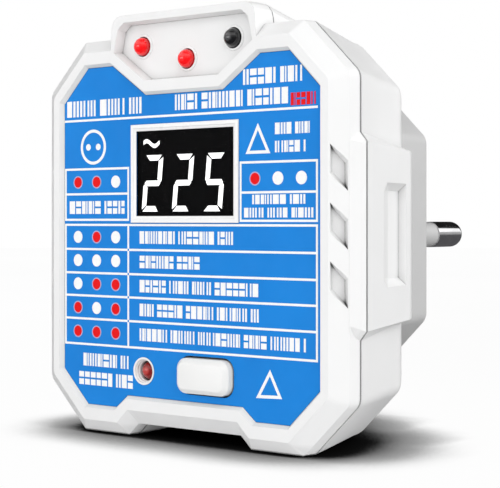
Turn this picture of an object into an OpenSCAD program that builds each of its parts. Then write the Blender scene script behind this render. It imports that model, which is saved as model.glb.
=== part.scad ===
// Socket tester plug: an octagonal housing with a display, indicator lamps and a push button
// on its front, and an earthed two-pin plug on its back.
// Millimetres, +Z up, +Y towards the wall socket, +X to the right seen from the front.
// The origin is midway between the two pins, on the plug's mating face.
// "Depth" means the distance behind the front rim, measured along +Y.

/* [Housing] */
// Depth of the plug's mating face
face_depth = 51.5; // [51:0.1:54]
// Half width at the parting line
half_w = 31.6; // [31.2:0.1:32.4]
// Half height at the parting line, from the pins' axis to the feet
half_h = 33; // [32.8:0.1:33.6]
// Sum of x and z along the 45 degree corner edges at the parting line
corner_sum = 56.3; // [55.6:0.1:57]
// Wall thickness of both shells
wall = 2; // [1.8:0.1:2.2]
// Width of the shadow gap between the shells
part_gap = 0.45; // [0.3:0.05:0.6]
// Height of the lamp hump above the pins' axis
hump_top = 36.6; // [36.2:0.1:37]
// Half width of the lamp hump
hump_w = 15.5; // [15:0.1:16]
// How far the side bulges stand out of the side walls
bulge_out = 1.15; // [0.8:0.05:1.4]

/* [Front rim] */
// Half width of the rim's outer edge
rim_w = 28.8; // [28.5:0.1:29.2]
// Half height of the rim's outer edge
rim_h = 30.8; // [30.5:0.1:31.2]
// Depth at which the front bevel ends
bevel_depth = 2; // [1.8:0.1:2.2]
// Depth of the parting line
part_depth = 4.2; // [4:0.1:4.6]
// Depth of the label's surface
label_depth = 0.8; // [0.6:0.1:1]
// Depth of the lamp panel's surface
panel_depth = 1.8; // [1.5:0.1:2]
// Depth of the front plate's back
plate_back = 3; // [2.9:0.1:3.2]

/* [Label] */
// Half width of the printed label
label_w = 26.9; // [26.6:0.1:27.1]
// Half height of the printed label
label_h = 28.3; // [28:0.1:28.5]
// Thickness of the printed label
label_t = 0.28; // [0.2:0.02:0.3]
// Width of the display window
window_w = 20.6; // [20:0.1:21]
// Height of the display window
window_h = 14; // [13.6:0.1:14.4]
// Height of the display's centre above the pins' axis
window_z = 10.3; // [10:0.1:10.6]

/* [Lamps and button] */
// Radius of each lamp's dome
lamp_r = 1.5; // [1.4:0.05:1.55]
// Distance of the outer lamps from the middle
lamp_x = 9.55; // [9.3:0.05:9.8]
// Height of the outer lamps
lamp_z = 31.2; // [31:0.1:31.4]
// Height of the middle lamp
lamp_mid_z = 28.6; // [28.3:0.1:28.9]
// Where the trip test lamp is, across the front
test_lamp_x = -8.6; // [-9:0.1:-8.2]
// Height of the trip test lamp
test_lamp_z = -22; // [-22.2:0.1:-21.8]
// Where the push button is, across the front
button_x = 4.75; // [4.6:0.05:4.9]
// Height of the push button
button_z = -22; // [-22.2:0.1:-21.8]
// Width of the push button
button_w = 10.6; // [10.2:0.1:10.8]
// Height of the push button's cap
button_h = 5.6; // [5.4:0.1:5.8]
// How far the button stands in front of the rim
button_proud = 0.9; // [0.6:0.1:1.2]
// Travel of the push button
button_travel = 1.2; // [1:0.1:1.2]

/* [Plug] */
// Distance between the pins
pin_pitch = 19; // [18.8:0.1:19.2]
// Length of the pins in front of the mating face
pin_len = 18.5; // [18.5:0.1:19.5]
// Radius of the pins
pin_r = 2.4; // [2.35:0.01:2.45]
// Length of the insulating sleeve on each pin
sleeve_len = 8.6; // [8.4:0.1:10.5]
// Radius of the sleeves, a little slimmer than the bare pin
sleeve_r = 2.22; // [2.15:0.01:2.23]
// Half width between the plug's flat sides
plug_w = 14.2; // [14:0.1:14.4]
// Radius of the plug's round top and bottom
plug_r = 18.5; // [18.3:0.1:18.6]
// Half width of the octagonal plug base
base_w = 24.6; // [24.3:0.1:24.9]
// Depth of the plug base's rear face
base_depth = 34.5; // [34.4:0.1:35]

/* [Board] */
// Depth of the circuit board's front
board_depth = 9; // [9:0.1:9.2]
// Thickness of the circuit board
board_t = 1.6; // [1.4:0.1:1.6]

/* [Hidden] */
$fn = 48;

fit = 0.05;              // running clearance between parts that fit together
root2 = sqrt(2);
rear_start = part_depth + part_gap;
draft_depth = 21;        // where the rear shell's drafted sides end
back_depth = 25.8;       // outer face of the rear shell's back wall
back_inner = back_depth - wall;
rear_w = half_w - 4.55;  // half width where the rear rounding starts
rear_h = half_h - 0.9;
rear_drop = 0.4;         // how far the rear outline's middle is below the pins' axis
rear_sum = corner_sum - 5;
round_in = 3.4;          // how far the rear rounding runs inwards
bulge_rear_out = bulge_out + 0.95;   // how far the bulges stand out where the rounding starts
rear_round_steps = 8;
tongue_len = 1.7;        // how far the front shell's tongue enters the rear shell
tongue_out = 1.2;        // distance of the tongue behind the outer surface
bulge_z = 0.3;           // height of the bulges' middle
base_z = 1.3;            // height of the plug base's middle
base_h = 24.1;           // half height of the plug base
base_sum = 39.7;         // corner sum of the plug base, about its own middle
base_wall = 2;
base_inner = base_depth - base_wall;
board_back = board_depth + board_t;
tip_depth = face_depth + pin_len;
sleeve_end = face_depth + sleeve_len;
label_floor = label_depth + label_t + 0.02;

white = [0.95, 0.95, 0.94];
light_grey = [0.78, 0.78, 0.78];
tin = [0.8, 0.81, 0.82];

// ---- Outlines: lists of [x, z] corners, anticlockwise seen from the front ----

function unit(v) = v / norm(v);

// Arc of radius r that replaces corner b between a and c.
function fillet(a, b, c, r, n) =
    let (u = unit(a - b), v = unit(c - b))
    let (half = acos(u * v) / 2, centre = b + unit(u + v) * r / sin(half))
    let (from = b + u * r / tan(half) - centre, start = atan2(from.y, from.x))
    let (turn = (cross(b - a, c - b) > 0 ? 1 : -1) * (180 - 2 * half))
    [for (i = [0 : n]) centre + r * [cos(start + turn * i / n), sin(start + turn * i / n)]];

// Rounds each corner by its own radius, and leaves corners of radius 0 sharp.
function rounded(points, radii, n = 4) =
    let (m = len(points))
    [for (i = [0 : m - 1])
        each radii[i] > 0
            ? fillet(points[(i + m - 1) % m], points[i], points[(i + 1) % m], radii[i], n)
            : [points[i]]];

// Moves every edge of an outline outwards by g.
function grow(points, g) =
    let (m = len(points))
    [for (i = [0 : m - 1])
        let (a = points[(i + m - 1) % m], b = points[i], c = points[(i + 1) % m])
        let (p = unit(b - a), q = unit(c - b))
        let (n1 = [p.y, -p.x], n2 = [q.y, -q.x])
        b + g * (n1 + n2) / (1 + n1 * n2)];

function reversed(list) = [for (i = [len(list) - 1 : -1 : 0]) list[i]];
function both_sides(half) = concat(half, [for (p = reversed(half)) [-p.x, p.y]]);
function twice(list) = concat(list, reversed(list));

// Whether q lies in the triangle a, b, c.
function inside(q, a, b, c) =
    cross(b - a, q - a) >= 0 && cross(c - b, q - b) >= 0 && cross(a - c, q - c) >= 0;

// Whether the outline p, of which the corners left remain, can lose corner i as one triangle.
function is_ear(p, left, i) =
    let (n = len(left), a = p[left[(i + n - 1) % n]], b = p[left[i]], c = p[left[(i + 1) % n]])
    cross(b - a, c - b) > 1e-6
        && len([for (j = left) let (q = p[j]) if (q != a && q != b && q != c && inside(q, a, b, c)) j])
            == 0;
function first_ear(p, left, i = 0) =
    i == len(left) - 1 || is_ear(p, left, i) ? i : first_ear(p, left, i + 1);

// Triangles that fill the outline p, as lists of corner numbers.
function triangles(p, left) =
    let (n = len(left), k = first_ear(p, left))
    n == 3 ? [left] : concat([[left[(k + n - 1) % n], left[k], left[(k + 1) % n]]],
        triangles(p, [for (i = [0 : n - 1]) if (i != k) left[i]]));

function octagon(w, top, bottom, sum) = both_sides([
    [sum - bottom, -bottom], [w, w - sum], [w, sum - w], [sum - top, top]]);

// Housing outline with the foot notch, and the hump unless its width is 0.
function housing(w, h, sum, notch, hump_half, hump_z) = both_sides(concat(
    [[notch[0], -notch[2]], [notch[1], -h], [sum - h, -h], [w, w - sum], [w, sum - w],
        [sum - h, h]],
    hump_half > 0 ? [[hump_half, h], [hump_half - 0.4, hump_z]] : []));

function housing_radii(side_r, top_r, hump_r) = twice(concat(
    [0, 0, top_r, side_r, side_r, top_r], hump_r > 0 ? [0, hump_r] : []));

// Foot notch: half width at its roof, half width at the feet, distance of its roof.
notch_rim = [11.6, 13.9, 28.5];
notch_bevel = [10.8, 12.95, half_h - 2.13];
notch_part = [10.75, 12.85, half_h - 2];

rim_corners = housing(rim_w, rim_h, corner_sum - 3.95, notch_rim, hump_w - 0.15, hump_top - 0.2);
bevel_corners = housing(half_w - 0.25, half_h - 0.1, corner_sum - 0.4, notch_bevel, hump_w,
    hump_top - 0.05);
part_corners = housing(half_w, half_h, corner_sum, notch_part, hump_w, hump_top);
rear_start_corners = housing(half_w, half_h, corner_sum, notch_part, 0, 0);
rim_outline = rounded(rim_corners, housing_radii(1.8, 0.8, 2));
bevel_outline = rounded(bevel_corners, housing_radii(2.2, 1, 2.4));
part_outline = rounded(part_corners, housing_radii(2.2, 1, 2.6));

label_corners = both_sides([[12.15, -label_h + 2.1], [14.7, -label_h], [label_w - 5.7, -label_h],
    [label_w, 5.7 - label_h], [label_w, label_h - 5.8], [label_w - 5.7, label_h], [15.6, label_h],
    [8.15, label_h - 5.2]]);
panel_corners = both_sides([[7.75, 25.45], [14.6, 30.35], [13.75, 34.1], [12.4, 35.2]]);
base_corners = octagon(base_w, base_h, base_h, base_sum);

function box_corners(w, h) = [[w, -h] / 2, [w, h] / 2, [-w, h] / 2, [-w, -h] / 2];
function soft_box(w, h, r) = rounded(box_corners(w, h), [r, r, r, r], 5);

// ---- Building blocks ----

// Solid through a list of outlines of equal length, each at its own depth.
module loft(outlines, depths) {
    m = len(outlines[0]);
    last = len(outlines) - 1;
    points = [for (s = [0 : last]) for (p = outlines[s]) [p.x, depths[s] - face_depth, p.y]];
    sides = [for (s = [0 : last - 1]) for (i = [0 : m - 1])
        let (j = (i + 1) % m, a = s * m + i, b = s * m + j)
        each [[a, b, a + m], [b, b + m, a + m]]];
    corners = [for (i = [0 : m - 1]) i];
    front_cap = [for (t = triangles(outlines[0], corners)) reversed(t)];
    rear_cap = [for (t = triangles(outlines[last], corners)) [for (i = t) last * m + i]];
    polyhedron(points, concat(sides, front_cap, rear_cap));
}

// Extrudes a flat [x, z] shape from depth d0 to depth d1.
module slab(d0, d1) {
    translate([0, d1 - face_depth, 0]) rotate([90, 0, 0]) linear_extrude(d1 - d0) children();
}

// Cylinder along the depth.
module rod(r, d0, d1, x = 0, z = 0) {
    translate([x, d1 - face_depth, z]) rotate([90, 0, 0]) cylinder(r = r, h = d1 - d0);
}

// Cone along the depth, with radius r0 at depth d0 and r1 at depth d1.
module taper(r0, r1, d0, d1, x = 0, z = 0) {
    translate([x, d1 - face_depth, z]) rotate([90, 0, 0]) cylinder(r1 = r1, r2 = r0, h = d1 - d0);
}

// Block centred on x and z, from depth d0 to depth d1.
module block(w, h, d0, d1, x = 0, z = 0) {
    translate([x - w / 2, d0 - face_depth, z - h / 2]) cube([w, d1 - d0, h]);
}

module mirrored() {
    children();
    mirror([1, 0, 0]) children();
}

module at_each(places) {
    for (p = places) translate([p.x, 0, p.y]) children();
}

// ---- Places of fasteners, [x, z] ----

housing_screw_at = [for (sx = [-1, 1]) for (sz = [-1, 1]) [20.6 * sx, 24 * sz]];
board_screw_at = [[-24, 6], [24, 6], [-14.5, -20.5], [14.5, -20.5]];
plug_screw_at = [[-18.8, 14], [18.8, 14], [-18.8, -11.5], [18.8, -11.5]];
retainer_screw_at = [[-16, 0], [16, 0]];
lamp_at = [[-lamp_x, lamp_z], [0, lamp_mid_z], [lamp_x, lamp_z]];
pin_x = pin_pitch / 2;
pin_tube_r = 4.3;       // outside of the tubes that hold the pins
core_floor = 2.5;       // thickness of the plug's face

boss_end = board_depth + 1.7;   // where the front bosses meet the rear screw tubes
well_depth = 20;                // floor of the screw wells in the rear shell

// ---- Bulges and grips on the sides ----

// Cross section of the right bulge: surface at x, standing out by out.
function bulge_section(x, out, z_foot, z_top) = [
    [x - 1.5, bulge_z - z_foot], [x, bulge_z - z_foot], [x + out, bulge_z - z_top],
    [x + out, bulge_z + z_top], [x, bulge_z + z_foot], [x - 1.5, bulge_z + z_foot]];

// Rear rounding: share of the way in, and depth, at step i.
function round_share(i) = 1 - cos(90 * i / rear_round_steps);
function round_depth(i) = draft_depth + (back_depth - draft_depth) * sin(90 * i / rear_round_steps);

module front_bulge() {
    loft([bulge_section(half_w - 0.28, 0.02, 14.2, 13.2),
        bulge_section(half_w - 0.13, bulge_out - 0.1, 15.1, 13.8),
        bulge_section(half_w, bulge_out, 15.5, 14.1)],
        [bevel_depth - 0.1, bevel_depth + 1.3, part_depth]);
}

module rear_bulge() {
    steps = [for (i = [0 : rear_round_steps]) i];
    loft(concat([bulge_section(half_w, bulge_out, 15.5, 14.1)],
        [for (i = steps) let (share = round_share(i)) bulge_section(rear_w - round_in * share,
            bulge_rear_out - 0.85 * share, 14.2 - 0.5 * share, 13.5 - 1.6 * share)]),
        concat([rear_start], [for (i = steps) round_depth(i)]));
}

// Finger grip: a ramp from the front down to a flat floor, with sloping ends, cut-off front
// corners and a steep rear wall.
grip_front = 11.1;
grip_corner = 12.6;
grip_rear = 20.9;
grip_floor = [15.8, 20.4];
grip_deep = 1.3;
grip_over = 0.9;

module grip_cut() {
    // Points are [depth, z] on the surface, then on the floor.
    edge = [[grip_front, -6.5], [grip_corner, -7.6], [grip_rear, -7.6],
        [grip_rear, 8.45], [grip_corner, 8.45], [grip_front, 7]];
    floor = [[grip_floor[0], -6.4], [grip_floor[0], -6.4], [grip_floor[1], -6.4],
        [grip_floor[1], 7.25], [grip_floor[0], 7.25], [grip_floor[0], 7.25]];
    slope = (half_w + bulge_out - rear_w - bulge_rear_out) / (draft_depth - rear_start);
    function at(p, out) = [half_w + bulge_out - slope * (p.x - rear_start) + out,
        p.x - face_depth, p.y];
    lid = [for (i = [0 : 5]) at(edge[i] + (edge[i] - floor[i]) * grip_over / grip_deep, grip_over)];
    bed = [for (i = [0, 2, 3, 4]) at(floor[i], -grip_deep)];
    polyhedron(concat(lid, bed), [[5, 4, 3, 2, 1, 0], [6, 7, 8, 9], [0, 6, 9, 5], [1, 6, 0],
        [2, 7, 6, 1], [3, 8, 7, 2], [4, 9, 8, 3], [5, 9, 4]]);
}

// Slanted recess in the front bevel, with z_top the height of its upper inner corner. Its rings
// run from x0 at depth d0 to x1 at depth d1: one in front of the bevel, one on the floor.
module bevel_slot(z_top) {
    tall = 4.3;
    slant = 2.75;
    function ring(x0, x1, d0, d1, inset, twist) = [
        [x0, d0, z_top - inset - twist], [x1, d1, z_top - slant - inset + twist],
        [x1, d1, z_top - slant - tall + inset + twist], [x0, d0, z_top - tall + inset - twist]];
    outer = ring(rim_w + 0.5, half_w + 0.1, -0.5, 1.4, -0.35, 0);
    floor = ring(rim_w - 0.15, half_w - 1.55, 1.2, 2.6, 0.45, 0.3);
    translate([0, -face_depth, 0]) polyhedron(concat(outer, floor),
        [[0, 1, 2, 3], [7, 6, 5, 4], [4, 5, 1, 0], [5, 6, 2, 1], [6, 7, 3, 2], [7, 4, 0, 3]]);
}

// ---- Housing ----

module front_shell() {
    color(white) difference() {
        union() {
            difference() {
                union() {
                    loft([rim_outline, bevel_outline, part_outline], [0, bevel_depth, part_depth]);
                    mirrored() front_bulge();
                    slab(part_depth - 0.6, part_depth + tongue_len)
                        polygon(rounded(grow(part_corners, -tongue_out), housing_radii(1.2, 0.4, 1.6)));
                }
                slab(plate_back, part_depth + tongue_len + 1)
                    polygon(rounded(grow(part_corners, -wall), housing_radii(0.6, 0, 0.8)));
            }
            at_each(housing_screw_at) rod(3.2, plate_back - 0.4, boss_end);
            at_each(board_screw_at) rod(2.3, plate_back - 0.4, board_depth - fit);
        }
        loft([grow(label_corners, 0.74), grow(label_corners, fit), grow(label_corners, fit)],
            [-0.4, label_depth, label_floor]);
        loft([grow(panel_corners, 0.1), grow(panel_corners, -0.3)], [-0.6, panel_depth]);
        slab(0, 10) translate([0, window_z]) square([window_w + 4, window_h + 4.6], center = true);
        at_each(lamp_at) rod(lamp_r + 0.1, 0, 5);
        rod(lamp_r + 0.15, 0, 5, test_lamp_x, test_lamp_z);
        taper(2.3, lamp_r + 0.1, label_depth, 2.4, test_lamp_x, test_lamp_z);
        slab(0, 10) translate([button_x, button_z]) polygon(soft_box(button_w + 0.6, button_h + 0.6, 2));
        at_each(housing_screw_at) rod(1.35, plate_back + 1, boss_end + 1);
        at_each(board_screw_at) rod(1.05, plate_back + 0.5, board_depth + 1);
        mirrored() for (i = [0 : 2]) bevel_slot(14.05 - 8.67 * i);
    }
}

function rear_corners(share, inset) = [for (p = grow(housing(
    rear_w - round_in * share, rear_h - round_in * share, rear_sum - round_in * root2 * share,
    [10.4, 12.3, rear_h - 1.9 - 1.1 * share], 0, 0), -inset)) p - [0, rear_drop]];

module rear_outer() {
    steps = [for (i = [0 : rear_round_steps]) i];
    start = rounded(rear_start_corners, housing_radii(2.2, 1, 0));
    rest = [for (i = steps)
        rounded(rear_corners(round_share(i), 0), housing_radii(2.6, 2.6, 0))];
    loft(concat([start], rest), concat([rear_start], [for (i = steps) round_depth(i)]));
}

// The hump runs back from the parting line and sinks into the top of the shell.
module hump_fairing(inset) {
    function section(top) = rounded(
        both_sides([[hump_w - inset, 28], [hump_w - 0.4 - inset, top - inset]]),
        [0, 2.6 - inset, 2.6 - inset, 0]);
    if (inset > 0) loft([section(hump_top), section(32.2)], [rear_start - 0.5, 25 - 4 * inset]);
    else loft([section(hump_top), section(32.9), section(30)], [rear_start, 21.8, 24.6]);
}

module rear_shell() {
    color(white) difference() {
        union() {
            difference() {
                union() {
                    rear_outer();
                    hump_fairing(0);
                    mirrored() rear_bulge();
                }
                loft([grow(rear_start_corners, -wall), rear_corners(0, wall), rear_corners(0.7, wall)],
                    [rear_start - 0.01, draft_depth, back_inner]);
                hump_fairing(1.8);
                slab(rear_start - 1, rear_start + tongue_len)
                    polygon(rounded(grow(part_corners, 0.1 - tongue_out), housing_radii(1.2, 0.4, 1.6)));
            }
            intersection() {
                at_each(housing_screw_at) rod(3.9, boss_end + fit, back_depth);
                rear_outer();
            }
            for (z = [-1, 1]) intersection() {
                block(30, wall, boss_end + 3, back_depth - 1, 0, z * (half_h - 3.6));
                rear_outer();
            }
        }
        mirrored() grip_cut();
        at_each(housing_screw_at) rod(2.5, well_depth, back_depth + 1);
        at_each(housing_screw_at) rod(1.5, boss_end - 1, well_depth + 1);
        slab(back_inner - 1, back_depth + 1) translate([0, base_z]) square([30, 36], center = true);
        at_each(plug_screw_at) rod(1.5, back_inner - 1, back_depth + 1);
    }
}

// ---- Plug ----

// Hollow inside the plug body, around the two pin tubes and the rib between them.
module plug_core() {
    difference() {
        intersection() {
            rod(plug_r - 2.4, base_inner - 0.01, face_depth - core_floor);
            block(2 * plug_w - 4.4, 2 * plug_r, base_inner - 1, face_depth);
        }
        for (x = [-pin_x, pin_x]) rod(pin_tube_r, base_inner - 1, face_depth, x);
        block(pin_pitch, 2, base_inner - 1, face_depth);
    }
}

module plug_base() {
    outer = rounded(base_corners, twice([1.5, 2.5, 2.5, 1.5]));
    color(light_grey) difference() {
        union() {
            translate([0, 0, base_z]) difference() {
                loft([grow(outer, 0.25), outer], [back_depth + 0.02, base_depth]);
                slab(back_depth - 1, base_inner) polygon(grow(base_corners, -base_wall));
            }
            intersection() {
                rod(plug_r, base_inner + 0.5, face_depth);
                block(2 * plug_w, 2 * plug_r + 2, base_inner, face_depth + 1);
            }
            at_each(plug_screw_at) rod(2.8, back_depth + 0.05, base_inner + 0.5);
            at_each(retainer_screw_at) rod(2.6, base_inner - 1.2, base_inner + 0.5);
        }
        plug_core();
        for (x = [-pin_x, pin_x]) rod(pin_r + fit, base_inner - 1, face_depth + 1, x);
        for (z = [-1, 1]) {
            block(6.7, 1, base_inner - 1, base_depth + 1, 0, z * 17.7);
            block(6.7, 4, base_depth, face_depth - 1.6, 0, z * 19.2);
        }
        at_each(plug_screw_at) rod(1.15, back_depth - 1, base_inner - 0.6);
        at_each(retainer_screw_at) rod(0.95, base_inner - 2, base_depth - 0.4);
    }
}

module pin_retainer() {
    color(light_grey) difference() {
        block(37, 9, base_inner - 3.1, base_inner - 1.25);
        for (x = [-pin_x, pin_x]) rod(1.6, 0, face_depth, x);
        at_each(retainer_screw_at) rod(1.1, 0, face_depth);
    }
}

// Pin with a rounded tip, a neck under the sleeve, a flange and a solder tail.
module pin(x) {
    neck_r = pin_r - 0.5;
    neck_start = face_depth - 4.5;
    color(tin) union() {
        rod(1.4, base_inner - 4, base_inner - 1, x);
        rod(3.6, base_inner - 1.2, base_inner - fit, x);
        rod(pin_r, base_inner - 1, neck_start, x);
        rod(neck_r, neck_start - 1, sleeve_end + 1, x);
        rod(pin_r, sleeve_end, tip_depth - pin_r, x);
        translate([x, tip_depth - pin_r - face_depth, 0]) sphere(r = pin_r);
    }
}

module sleeve(x) {
    color([0.86, 0.86, 0.85]) difference() {
        rod(sleeve_r, face_depth - 4.48, sleeve_end - 0.02, x);
        rod(pin_r - 0.48, 0, 2 * face_depth, x);
    }
}

module live_pin() { pin(pin_x); }
module neutral_pin() { pin(-pin_x); }
module live_sleeve() { sleeve(pin_x); }
module neutral_sleeve() { sleeve(-pin_x); }

// Earth contacts on the plug's top and bottom, joined by a bridge between the pins.
module earth_strip() {
    strip_w = 6.4;
    strip_t = 0.8;
    reach = 18.1;
    color(tin) union() {
        block(strip_w, 2 * reach, base_inner - 0.9, base_inner - 0.1);
        for (z = [-1, 1])
            block(strip_w, strip_t, base_inner - 0.9, face_depth - 2.2, 0, z * (reach - strip_t / 2));
    }
}

// ---- Front ----

module front_label() {
    color([0.14, 0.53, 0.88]) difference() {
        slab(label_depth, label_depth + label_t) polygon(label_corners);
        slab(0, 3) translate([0, window_z]) square([window_w, window_h], center = true);
        rod(2.3, 0, 3, test_lamp_x, test_lamp_z);
        slab(0, 3) translate([button_x, button_z]) polygon(soft_box(button_w + 0.6, button_h + 0.6, 2));
    }
}

module display_window() {
    color([0.1, 0.1, 0.12, 0.5])
        block(window_w - 0.1, window_h - 0.1, label_depth, label_floor, 0, window_z);
}

module lcd_cell() {
    color([0.06, 0.06, 0.07]) difference() {
        block(window_w + 3.6, window_h + 3.6, label_floor + 0.1, label_floor + 2.9, 0, window_z);
        for (z = [-1, 1])
            block(2 * window_w, 1.4, label_floor + 1.5, label_floor + 4, 0,
                window_z + z * (window_h / 2 + 1.8));
    }
}

module lcd_pins() {
    pitch = 1.8;
    color(tin) for (z = [-1, 1]) for (i = [-5 : 5])
        block(0.4, 0.3, label_floor + 1.6, board_depth - fit, i * pitch,
            window_z + z * (window_h / 2 + 1.5));
}

module backlight() {
    color([0.96, 0.96, 0.92]) difference() {
        block(window_w + 1, window_h + 1.6, label_floor + 2.95, board_depth - fit, 0, window_z);
        block(window_w - 3, window_h - 2, label_floor + 5, board_depth + 1, 0, window_z);
    }
}

// Lamp with its dome's tip at depth tip, a flange and two leads into the board.
module lamp(tip, x, z) {
    seat = tip + 5.3;
    for (side = [-1, 1]) rod(0.25, seat - 0.5, board_depth - fit, x + 1.27 * side, z);
    rod(lamp_r, tip + lamp_r, seat, x, z);
    rod(1.9, seat - 1, seat, x, z);
    translate([x, tip + lamp_r - face_depth, z]) sphere(r = lamp_r);
}

module led_left() { color([0.85, 0.05, 0.07]) lamp(0.1, lamp_at[0].x, lamp_at[0].y); }
module led_centre() { color([0.85, 0.05, 0.07]) lamp(0.1, lamp_at[1].x, lamp_at[1].y); }
module led_right() { color([0.12, 0.11, 0.12]) lamp(0.1, lamp_at[2].x, lamp_at[2].y); }
module rcd_led() { color([0.5, 0.05, 0.05]) lamp(1.1, test_lamp_x, test_lamp_z); }

// Button cap with a chamfered face, a flange behind the front plate and a stem.
module rcd_button() {
    flange = plate_back + 0.1;
    color(white) translate([button_x, 0, button_z]) union() {
        difference() {
            union() {
                loft([soft_box(button_w - 1.4, button_h - 1.3, 1.1),
                    soft_box(button_w, button_h, 1.7), soft_box(button_w, button_h, 1.7)],
                    [-button_proud, 0.6 - button_proud, flange + 0.5]);
                slab(flange, flange + 0.9) polygon(soft_box(button_w + 1.4, button_h + 1.4, 1.5));
            }
            block(button_w - 2, button_h - 1.8, 1, flange + 2);
        }
        rod(1.2, 0.9, flange + 1.1);
    }
}

switch_top = 5.4;
spring_start = 1.03;
spring_end = switch_top - 0.03;

// Coil spring around the button's stem, seated on the switch.
module button_spring() {
    coil_r = 1.55;
    wire_r = 0.2;
    turns = 5;
    per_turn = 20;
    sides = 8;
    count = turns * per_turn;
    length = spring_end - spring_start - 2 * wire_r;
    slope = atan(length / (turns * 2 * PI * coil_r));
    ring = [for (k = [0 : count]) for (j = [0 : sides - 1])
        let (a = 360 * k / per_turn, b = 360 * j / sides)
        let (out = coil_r + wire_r * cos(b), along = wire_r * sin(b) * cos(slope))
        [out * cos(a), spring_start + wire_r + length * k / count + along - face_depth, out * sin(a)]];
    skin = [for (k = [0 : count - 1]) for (j = [0 : sides - 1])
        let (i = (j + 1) % sides, a = k * sides + j, b = k * sides + i)
        each [[a, a + sides, b], [b, a + sides, b + sides]]];
    ends = [[for (j = [0 : sides - 1]) j], [for (j = [sides - 1 : -1 : 0]) count * sides + j]];
    color(tin) translate([button_x, 0, button_z]) polyhedron(ring, concat(skin, ends));
}

module switch_body() {
    color([0.12, 0.12, 0.13]) translate([button_x, 0, button_z]) difference() {
        block(8, 7, switch_top, board_depth - fit);
        rod(1.2, 0, switch_top + 1);
        rod(2.2, switch_top + 0.8, board_depth - 0.5);
    }
}

module switch_plunger() {
    color([0.75, 0.3, 0.1]) translate([button_x, 0, button_z]) union() {
        rod(1.15, plate_back + 1.25, switch_top + 1);
        rod(2.1, switch_top + 0.85, switch_top + 1.5);
    }
}

module switch_contact() {
    color(tin) rod(2.15, board_depth - 0.75, board_depth - 0.55, button_x, button_z);
}

// ---- Circuit board ----

module main_board() {
    board_sum = 38.4;
    color([0.1, 0.4, 0.2]) difference() {
        union() {
            slab(board_depth, board_back) polygon(octagon(27, 28, 27, board_sum));
            slab(board_depth, board_back) translate([-12.4, 20]) square([24.8, 12]);
        }
        at_each(board_screw_at) rod(1.2, board_depth - 1, board_back + 1);
    }
}

module controller_chip() {
    color([0.1, 0.1, 0.1]) union() {
        block(10.3, 7.5, board_back + 0.15, board_back + 2.3, 5, 2);
        for (side = [-1, 1]) for (i = [0 : 7])
            block(0.4, 1.4, board_back + 0.05, board_back + 0.5, 0.55 + 1.27 * i, 2 + 4.3 * side);
    }
}

module bridge_rectifier() {
    color([0.1, 0.1, 0.1]) union() {
        block(8.5, 6.4, board_back + 0.3, board_back + 3.6, -4, 13);
        for (sx = [-1, 1]) for (sz = [-1, 1])
            block(0.5, 0.4, board_back + 0.05, board_back + 1.5, -4 + 2.5 * sx, 13 + 3.3 * sz);
    }
}

module filter_capacitor() {
    color([0.1, 0.12, 0.3]) union() {
        rod(4, board_back + 0.3, board_back + 11, 16, 14);
        for (side = [-1, 1]) rod(0.3, board_back + 0.05, board_back + 1, 16 + 1.75 * side, 14);
    }
}

module dropper_capacitor() {
    color([0.75, 0.6, 0.2]) union() {
        block(18, 7.5, board_back + 0.3, board_back + 11, -13, -9);
        for (side = [-1, 1]) rod(0.4, board_back + 0.05, board_back + 1, -13 + 7.5 * side, -9);
    }
}

module fuse() {
    color([0.5, 0.15, 0.1]) union() {
        rod(4.2, board_back + 0.3, board_back + 8, -17, 13.2);
        for (side = [-1, 1]) rod(0.3, board_back + 0.05, board_back + 1, -17 + 2.54 * side, 13.2);
    }
}

// Axial resistor lying across the board, with its leads bent down into it.
module axial(x, z, r, body_l, span) {
    lift = board_back + 0.5 + r;
    translate([x, lift - face_depth, z]) rotate([0, 90, 0]) cylinder(r = r, h = body_l, center = true);
    translate([x, lift - face_depth, z]) rotate([0, 90, 0]) cylinder(r = 0.3, h = span, center = true);
    for (side = [-1, 1]) rod(0.3, board_back + 0.05, lift, x + (span / 2 - 0.3) * side, z);
}

module load_resistors() {
    color([0.35, 0.5, 0.6]) for (z = [-9, -15]) axial(12.5, z, 2.4, 11, 15.4);
}

module sense_resistors() {
    color([0.3, 0.55, 0.75]) for (x = [-16.6, 16.8]) for (i = [0 : 2])
        axial(x, -1.5 + 3.2 * i, 1.15, 6.3, 9.8);
}

// Insulated wire through [x, depth, z] points.
module wire(points) {
    r = 1.1;
    for (i = [0 : len(points) - 2]) {
        a = points[i];
        run = points[i + 1] - a;
        translate([a.x, a.y - face_depth, a.z])
            rotate([0, acos(run.z / norm(run)), atan2(run.y, run.x)]) cylinder(r = r, h = norm(run));
    }
    for (i = [1 : len(points) - 2])
        translate([points[i].x, points[i].y - face_depth, points[i].z]) sphere(r = 1.03 * r);
}

// A pin's wire: back from the solder tail, up, and straight into the board.
module pin_wire() {
    tail_end = base_inner - 4.1;
    wire([[pin_x, tail_end, 0], [pin_x, tail_end - 3, 0], [pin_x, 20, 9], [10.5, 16, 19],
        [10.5, board_back + 0.15, 19]]);
}

module live_wire() { color([0.4, 0.22, 0.12]) pin_wire(); }
module neutral_wire() { color([0.1, 0.3, 0.7]) mirror([1, 0, 0]) pin_wire(); }
module earth_wire() {
    color([0.4, 0.65, 0.15])
        wire([[0, base_inner - 1, 8], [0, 24, 8], [0, 16, 20], [0, board_back + 0.15, 20]]);
}

// ---- Fasteners ----

// Pan head screw with a cross recess: head_r and head_t size the head, r and l the shank.
module screw(head_depth, head_r, head_t, r, l, drive) {
    difference() {
        union() {
            taper(head_r, head_r - 0.35, head_depth - 0.4, head_depth);
            rod(head_r, head_depth - head_t, head_depth - 0.4);
            rod(r, head_depth - head_t - l, head_depth - head_t);
        }
        for (turn = [0, 90]) rotate([0, turn, 0]) block(drive, 0.5, head_depth - 0.8, head_depth + 1);
    }
}

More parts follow.
